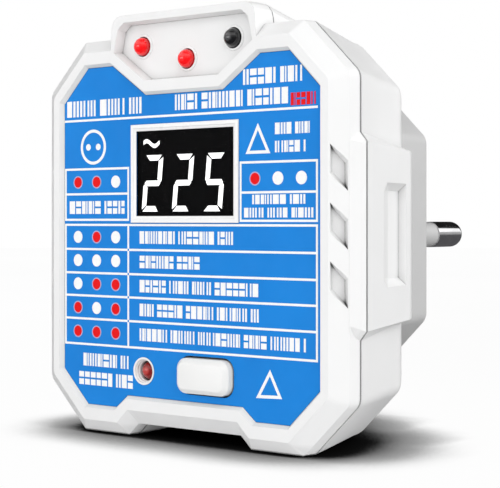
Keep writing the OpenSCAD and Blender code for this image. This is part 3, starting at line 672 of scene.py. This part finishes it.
OUTLET_X, OUTLET_Z = -20.1, 15.0
OUTLET_IN, OUTLET_OUT = 2.45, 2.95     # radii of the outlet's ring
HOLE_X, HOLE_R = 1.15, 0.55
TRIANGLE_LINE = 0.48


def print_signs():
    """A plain outlet pictogram and two plain triangles."""
    s = Shape()
    s.circle_band(OUTLET_X, OUTLET_Z, OUTLET_IN, OUTLET_OUT)
    for dx in (-HOLE_X, HOLE_X):
        s.disc(OUTLET_X + dx, OUTLET_Z, HOLE_R, 24)
    for corners in (triangle(15.1, 12.9, 17.6, 2.4), triangle(17.25, -24.6, -20.1, 2.5, 0.2)):
        s.band(corners, inner_triangle(corners, TRIANGLE_LINE))
    s.build("print_signs", "print_white", smooth_angle=0)


# ---- display

W_LOW, W_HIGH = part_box("display_window")
WIN = [round(v / MM, 2) for v in (W_LOW.x, W_HIGH.x, W_LOW.z, W_HIGH.z)]


def display_bezel():
    """Raised white frame round the window, with a step on its inner slope."""
    s = Shape()
    # distance outside the window, and depth from the label's face
    profile = ((1.08, 0.01), (1.08, -0.2), (1.0, -0.28), (0.5, -0.28), (0.44, -0.2),
               (0.4, -0.14), (0.06, -0.05), (0.0, 0.01))
    s.loft([box_outline(*WIN, out=o) for o, d in profile],
           [LABEL_DEPTH + d for o, d in profile], loop=True)
    s.build("display_bezel", "bezel")


DIGIT_W, DIGIT_H, STROKE, GAP = 3.85, 9.2, 0.9, 0.11
DIGIT_LOW = 4.1                        # bottom of the digits
DIGIT_LEAN = 0.1                       # how far a digit leans to the right for its height
DIGIT_PROUD, DIGIT_SINK = 0.03, 0.005
READING = (("abged", -7.03), ("abged", -0.45), ("afgcd", 6.11))    # lit bars, middle
WAVE_LEFT, WAVE_W, WAVE_Z = -9.0, 3.5, 15.2
WAVE_SWING, WAVE_HALF, WAVE_START = 0.42, 0.33, 0.35


def segments():
    """The seven bars of a digit, as outlines from its lower left corner."""
    w, h, t, g = DIGIT_W, DIGIT_H, STROKE, GAP
    m, c = h / 2, 0.26
    top = [(g + 0.05, h), (t + g, h - t), (w - t - g, h - t), (w - c - g, h - 0.02),
           (w - c - g, h)]
    right = [(w, h - c - g), (w - t, h - t - g), (w - t, m + 0.62 * t + g), (w - 0.35 * t, m + g),
             (w, m + 0.3 * t + g)]
    bar = [(0.1 + g, m), (0.62 * t, m - t / 2), (w - 0.62 * t, m - t / 2), (w - 0.1 - g, m),
           (w - 0.62 * t, m + t / 2), (0.62 * t, m + t / 2)]

    def flip_x(p):
        return [(w - x, z) for x, z in reversed(p)]

    def flip_z(p):
        return [(x, h - z) for x, z in reversed(p)]

    return {"a": top, "b": right, "c": flip_z(right), "d": flip_z(top),
            "e": flip_x(flip_z(right)), "f": flip_x(right), "g": bar}


def display_digits():
    """Lit reading with a wave sign for alternating current."""
    s = Shape()
    face = (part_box("lcd_cell")[0].y - RIM) / MM
    bars = segments()
    depths = [face - DIGIT_PROUD, face + DIGIT_SINK]
    mid_z = DIGIT_LOW + DIGIT_H / 2
    for lit, cx in READING:
        for key in lit:
            outline = []
            for x, z in bars[key]:
                gx, gz = cx - DIGIT_W / 2 + x, DIGIT_LOW + z
                outline.append((gx + DIGIT_LEAN * (gz - mid_z), gz))
            s.loft([outline, outline], depths)
    steps = 24
    line = [(WAVE_LEFT + WAVE_W * i / steps,
             WAVE_Z + WAVE_SWING * math.sin(2 * math.pi * i / steps + WAVE_START))
            for i in range(steps + 1)]
    wave = [(x, z - WAVE_HALF) for x, z in line] + [(x, z + WAVE_HALF) for x, z in reversed(line)]
    for i in range(steps):
        quad = [wave[i], wave[i + 1], wave[-2 - i], wave[-1 - i]]
        s.loft([quad, quad], depths)
    s.build("display_digits", "digit", smooth_angle=0)


# ---- lamps

LENS_R, LENS_LEN = 1.5, 5.3
FLANGE_R, FLANGE_T = 1.9, 1
LEAD_R, LEAD_X = 0.25, 1.27


def lamp(node, look):
    """Lamp with a round dome, a flange and two leads, standing for its CAD node."""
    x, z = middle_of(node)
    low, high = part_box(node)
    tip, end = (low.y - RIM) / MM, (high.y - RIM) / MM
    seat, r = tip + LENS_LEN, LENS_R
    s = Shape((x, z))
    dome = [(0, tip)] + [(r * math.sin(a), tip + r * (1 - math.cos(a)))
                         for a in (math.radians(6 * k) for k in range(1, 16))]
    flange = [(r, seat - FLANGE_T), (1.82, seat - FLANGE_T), (FLANGE_R, seat - 0.92),
              (FLANGE_R, seat - 0.06), (1.84, seat), (0, seat)]
    s.lathe(dome + flange, (x, z), 64)
    lens = s.build("lens_" + node, look)
    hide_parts(node)
    leads = Shape()
    lead = [(0, seat - 0.3), (LEAD_R, seat - 0.3), (LEAD_R, end - 0.05), (0.2, end), (0, end)]
    for side in (-1, 1):
        leads.lathe(lead, (x + LEAD_X * side, z), 20)
    leads.build("leads_" + node, "tin")


def lamp_collar(node):
    """Low moulded ring round a lamp."""
    s = Shape()
    profile = ((1.63, 0.1), (1.63, -0.14), (1.68, -0.2), (1.86, -0.2), (1.97, -0.12),
               (2.02, 0.1))
    s.lathe([(r, PANEL_DEPTH + d) for r, d in profile], middle_of(node), 64, loop=True)
    s.build("collar_" + node, "bezel")


def test_lamp_funnel():
    """Stepped ring sunk into the label round the test lamp."""
    s = Shape()
    profile = ((2.26, 0.12), (2.26, -0.06), (2.2, -0.1), (2.02, -0.1), (1.95, -0.04),
               (1.92, 0.3), (1.78, 0.36), (1.76, 0.8), (1.64, 0.86), (1.62, 1.45), (1.66, 1.45))
    s.lathe([(r, LABEL_DEPTH + d) for r, d in profile], middle_of("rcd_led"), 64, loop=True)
    s.build("test_lamp_funnel", "bezel")


# ---- button and spring

CAP_W, CAP_H, CAP_CORNER = 10.6, 5.6, 1.75
CAP_FLANGE_DEPTH = 3.1
STEM_R = 1.2


def test_button():
    """Soft cap, flange and stem of the push button."""
    x, z = middle_of("rcd_button")
    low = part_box("rcd_button")[0]
    front = (low.y - RIM) / MM
    flange = CAP_FLANGE_DEPTH
    s = Shape()

    def ring(inset):
        return [(x + px, z + pz) for px, pz in
                rounded_box(CAP_W - 2 * inset, CAP_H - 2 * inset, max(0.4, CAP_CORNER - inset))]

    steps = [(0.8, 0.0), (0.72, 0.02), (0.08, 0.62), (0.01, 0.74), (0.0, 0.85),
             (0.0, flange - front), (-0.68, flange - front),
             (-0.7, flange - front + 0.04), (-0.7, flange - front + 0.86),
             (-0.66, flange - front + 0.9), (1.0, flange - front + 0.9), (1.0, 1.9)]
    s.loft([ring(i) for i, d in steps], [front + d for i, d in steps])
    s.lathe([(0, front + 1.8), (STEM_R, front + 1.8), (STEM_R, flange + 1.05),
             (1.15, flange + 1.1), (0, flange + 1.1)], (x, z), 32)
    piece = s.build("button_cap", "button", "button", 24.0)
    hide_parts("rcd_button")


def return_spring():
    """Coil with closed ends."""
    x, z = middle_of("button_spring")
    low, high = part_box("button_spring")
    start, end = (low.y - RIM) / MM, (high.y - RIM) / MM
    coil, wire, turns, per_turn, sides = 1.55, 0.2, 6.0, 32, 10
    count = int(turns * per_turn)
    rows = []
    for k in range(count + 1):
        turn = k / per_turn
        share = min(max((turn - 0.75) / (turns - 1.5), 0), 1)
        rows.append((2 * math.pi * turn, start + wire + share * (end - start - 2 * wire)))
    s = Shape()
    for a, depth in rows:
        for j in range(sides):
            b = 2 * math.pi * j / sides
            out = coil + wire * math.cos(b)
            s.verts.append(at(x + out * math.cos(a), z + out * math.sin(a),
                              depth + wire * math.sin(b)))
    for k in range(count):
        for j in range(sides):
            a, b = k * sides + j, k * sides + (j + 1) % sides
            s.faces.append((a, b, b + sides, a + sides))
    s.faces.append(tuple(range(sides)))
    s.faces.append(tuple(range((count + 1) * sides - 1, count * sides - 1, -1)))
    piece = s.build("return_spring", "spring")
    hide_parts("button_spring")
    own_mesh(piece)


print_lines()
print_dots()
print_blocks()
print_signs()
display_bezel()
display_digits()
for node in ("led_left", "led_centre", "led_right"):
    lamp(node, NODE_LOOK[node])
    lamp_collar(node)
lamp("rcd_led", NODE_LOOK["rcd_led"])
test_lamp_funnel()
test_button()
return_spring()

# ---------------------------------------------------------------- camera, light, floor

FLOOR_Z = cad_box[0].z
CAMERA_AT_MM = (151.4, -225.0, 2.72)
CAMERA_TURN_DEG = 38.34                # to the object's right; the camera looks level
LENS_MM, SENSOR_MM = 103.87, 36

camera = bpy.data.objects.new("camera", bpy.data.cameras.new("camera"))
bpy.context.scene.collection.objects.link(camera)
camera.location = [v * MM for v in CAMERA_AT_MM]
camera.rotation_euler = (math.radians(90), 0, math.radians(CAMERA_TURN_DEG))
camera.data.lens = LENS_MM
camera.data.sensor_width = SENSOR_MM
camera.data.shift_y = -0.048
camera.data.clip_start = 0.01
camera.data.clip_end = 20
bpy.context.scene.camera = camera


def mesh_object(name, verts, faces, mat):
    mesh = bpy.data.meshes.new(name)
    mesh.from_pydata(verts, [], faces)
    mesh.update()
    mesh.materials.append(mat)
    obj = bpy.data.objects.new(name, mesh)
    bpy.context.scene.collection.objects.link(obj)
    return obj


# floor seen by the camera: share of open sky within CONTACT_MM, and the grey (0 to 255) there
CONTACT_MM = 20
CONTACT_STOPS = ((0.0, 0), (0.4, 16), (0.64, 150), (0.9, 255))
FLOOR_R = 1.6                          # metres


def floor_material():
    """White paper. The camera sees it evenly white but for a soft dark contact shadow, and
    mirrors see it dark grey; it throws more light back from in front of the object than from
    under it."""
    n = Nodes("studio_floor")
    contact = n.add("AmbientOcclusion", Distance=CONTACT_MM * MM, samples=16).outputs["AO"]
    shade = n.add("ValToRGB", Fac=contact)
    shade.color_ramp.interpolation = "EASE"
    for k, (where, grey) in enumerate(CONTACT_STOPS):
        e = shade.color_ramp.elements.new(where) if k > 1 else shade.color_ramp.elements[k]
        e.position, e.color = where, rgb(grey, grey, grey)
    paper = n.mix(n.ramp(n.noise(400, 2), 0, 1), rgb(252, 252, 252), rgb(254, 254, 254))
    seen_tint = n.add("MixRGB", blend_type="MULTIPLY", Fac=1.0, Color1=shade.outputs[0],
                      Color2=paper).outputs[0]
    depth = n.add("SeparateXYZ", Vector=n.coord).outputs[1]
    thrown = n.mix(n.ramp(depth, 0, 1, -0.06, -0.03), rgb(245, 245, 245), rgb(190, 190, 190))
    n.set(Base_Color=thrown, Roughness=0.6, Specular_IOR_Level=0.1)
    glow = n.add("Emission", Color=seen_tint, Strength=1.0)
    path = n.add("LightPath")
    mirrored = n.add("MixShader", i0=path.outputs["Is Glossy Ray"])
    dark = n.add("Emission", Color=rgb(90, 90, 92), Strength=1.0)
    n.tree.links.new(n.bsdf.outputs[0], mirrored.inputs[1])
    n.tree.links.new(dark.outputs[0], mirrored.inputs[2])
    both = n.add("MixShader", i0=path.outputs["Is Camera Ray"])
    n.tree.links.new(mirrored.outputs[0], both.inputs[1])
    n.tree.links.new(glow.outputs[0], both.inputs[2])
    n.tree.links.new(both.outputs[0], n.tree.nodes["Material Output"].inputs[0])
    return n.mat


def studio_floor():
    """A round pale floor under the object."""
    rings, sides = 24, 96
    verts = [(0, 0, FLOOR_Z)]
    faces = []
    for k in range(1, rings + 1):
        r = FLOOR_R * (k / rings) ** 2
        verts += [(r * math.cos(2 * math.pi * i / sides), r * math.sin(2 * math.pi * i / sides),
                   FLOOR_Z) for i in range(sides)]
    for i in range(sides):
        j = (i + 1) % sides
        faces.append((0, 1 + i, 1 + j))
        for k in range(rings - 1):
            a, b = 1 + k * sides, 1 + (k + 1) * sides
            faces.append((a + i, b + i, b + j, a + j))
    mesh_object("studio_floor", verts, faces, floor_material())


studio_floor()


def area(name, where, target, size, size_y, power):
    """Soft lamp that points at target. Sizes in metres, power in watts."""
    light = bpy.data.lights.new(name, "AREA")
    light.energy = power
    light.shape = "RECTANGLE"
    light.size = size
    light.size_y = size_y
    obj = bpy.data.objects.new(name, light)
    bpy.context.scene.collection.objects.link(obj)
    obj.location = where
    obj.rotation_euler = (Vector(target) - Vector(where)).to_track_quat("-Z", "Y").to_euler()


TARGET = (0, -0.02, 0)
area("front_light", (-0.5, -1.0, 0.12), TARGET, 0.8, 0.28, 1.9)
area("back_light", (0.8, 0.9, 0.6), TARGET, 0.7, 0.7, 1.35)

# strength of the sky all round, and what is added from the right and from the front
ALL_ROUND, FROM_RIGHT, FROM_FRONT = 0.21, 1.68, 0.75
# what mirrors see: brightness against height (0 down, 1 up) in front of the object, and
# against bearing about the Y axis (0 to 1) behind it
AHEAD_BANDS = ((0.0, 0.35), (0.42, 0.2), (0.6, 0.35), (0.69, 0.45), (0.71, 1.2), (0.9, 1.2),
               (0.94, 0.3), (1.0, 0.25))
BEHIND_BANDS = ((0.0, 0.1), (0.42, 0.1), (0.44, 0.35), (0.56, 0.5), (0.58, 1.3), (0.65, 1.3),
                (0.67, 0.01), (1.0, 0.01))


def studio_world():
    """White to the camera. It lights the object mostly from the right and the front, and mirrors
    see bright and dark bands round the horizon, so that metal and glossy edges read."""
    world = bpy.data.worlds.new("studio")
    bpy.context.scene.world = world
    world.use_nodes = True
    tree = world.node_tree
    new, link = tree.nodes.new, tree.links.new

    def math_node(operation, a, b):
        node = new("ShaderNodeMath")
        node.operation = operation
        for socket, value in zip(node.inputs, (a, b)):
            if isinstance(value, bpy.types.NodeSocket):
                link(value, socket)
            else:
                socket.default_value = value
        return node.outputs[0]

    split = new("ShaderNodeSeparateXYZ")
    link(new("ShaderNodeTexCoord").outputs["Generated"], split.inputs[0])
    right = math_node("MULTIPLY", math_node("MAXIMUM", split.outputs["X"], 0.0), FROM_RIGHT)
    front = math_node("MULTIPLY", math_node("MINIMUM", split.outputs["Y"], 0.0), -FROM_FRONT)
    level = math_node("ADD", math_node("ADD", right, front), ALL_ROUND)

    def bands(factor, stops):
        node = new("ShaderNodeValToRGB")
        ramp = node.color_ramp
        for element, (where, grey) in zip(ramp.elements, (stops[0], stops[-1])):
            element.position, element.color = where, (grey, grey, grey, 1)
        for where, grey in stops[1:-1]:
            ramp.elements.new(where).color = (grey, grey, grey, 1)
        link(factor, node.inputs[0])
        return node.outputs[0]

    height = math_node("MULTIPLY", math_node("ADD", split.outputs["Z"], 1.0), 0.5)
    in_front = bands(height, AHEAD_BANDS)
    turn = math_node("ARCTAN2", split.outputs["Z"], split.outputs["X"])
    bearing = math_node("ADD", math_node("DIVIDE", turn, math.tau), 0.5)
    behind = bands(bearing, BEHIND_BANDS)
    is_ahead = math_node("LESS_THAN", split.outputs["Y"], 0.05)
    path = new("ShaderNodeLightPath")

    def blend(fac, a, b):
        node = new("ShaderNodeMix")
        node.data_type = "RGBA"
        for index, value in ((0, fac), (6, a), (7, b)):
            if isinstance(value, bpy.types.NodeSocket):
                link(value, node.inputs[index])
            else:
                node.inputs[index].default_value = value
        return node.outputs[2]

    shiny = blend(is_ahead, behind, in_front)
    seen = blend(path.outputs["Is Glossy Ray"], level, shiny)
    shown_sky = blend(path.outputs["Is Camera Ray"], seen, (1, 1, 1, 1))
    link(shown_sky, tree.nodes["Background"].inputs[0])


studio_world()
bpy.context.scene.view_settings.view_transform = "Standard"
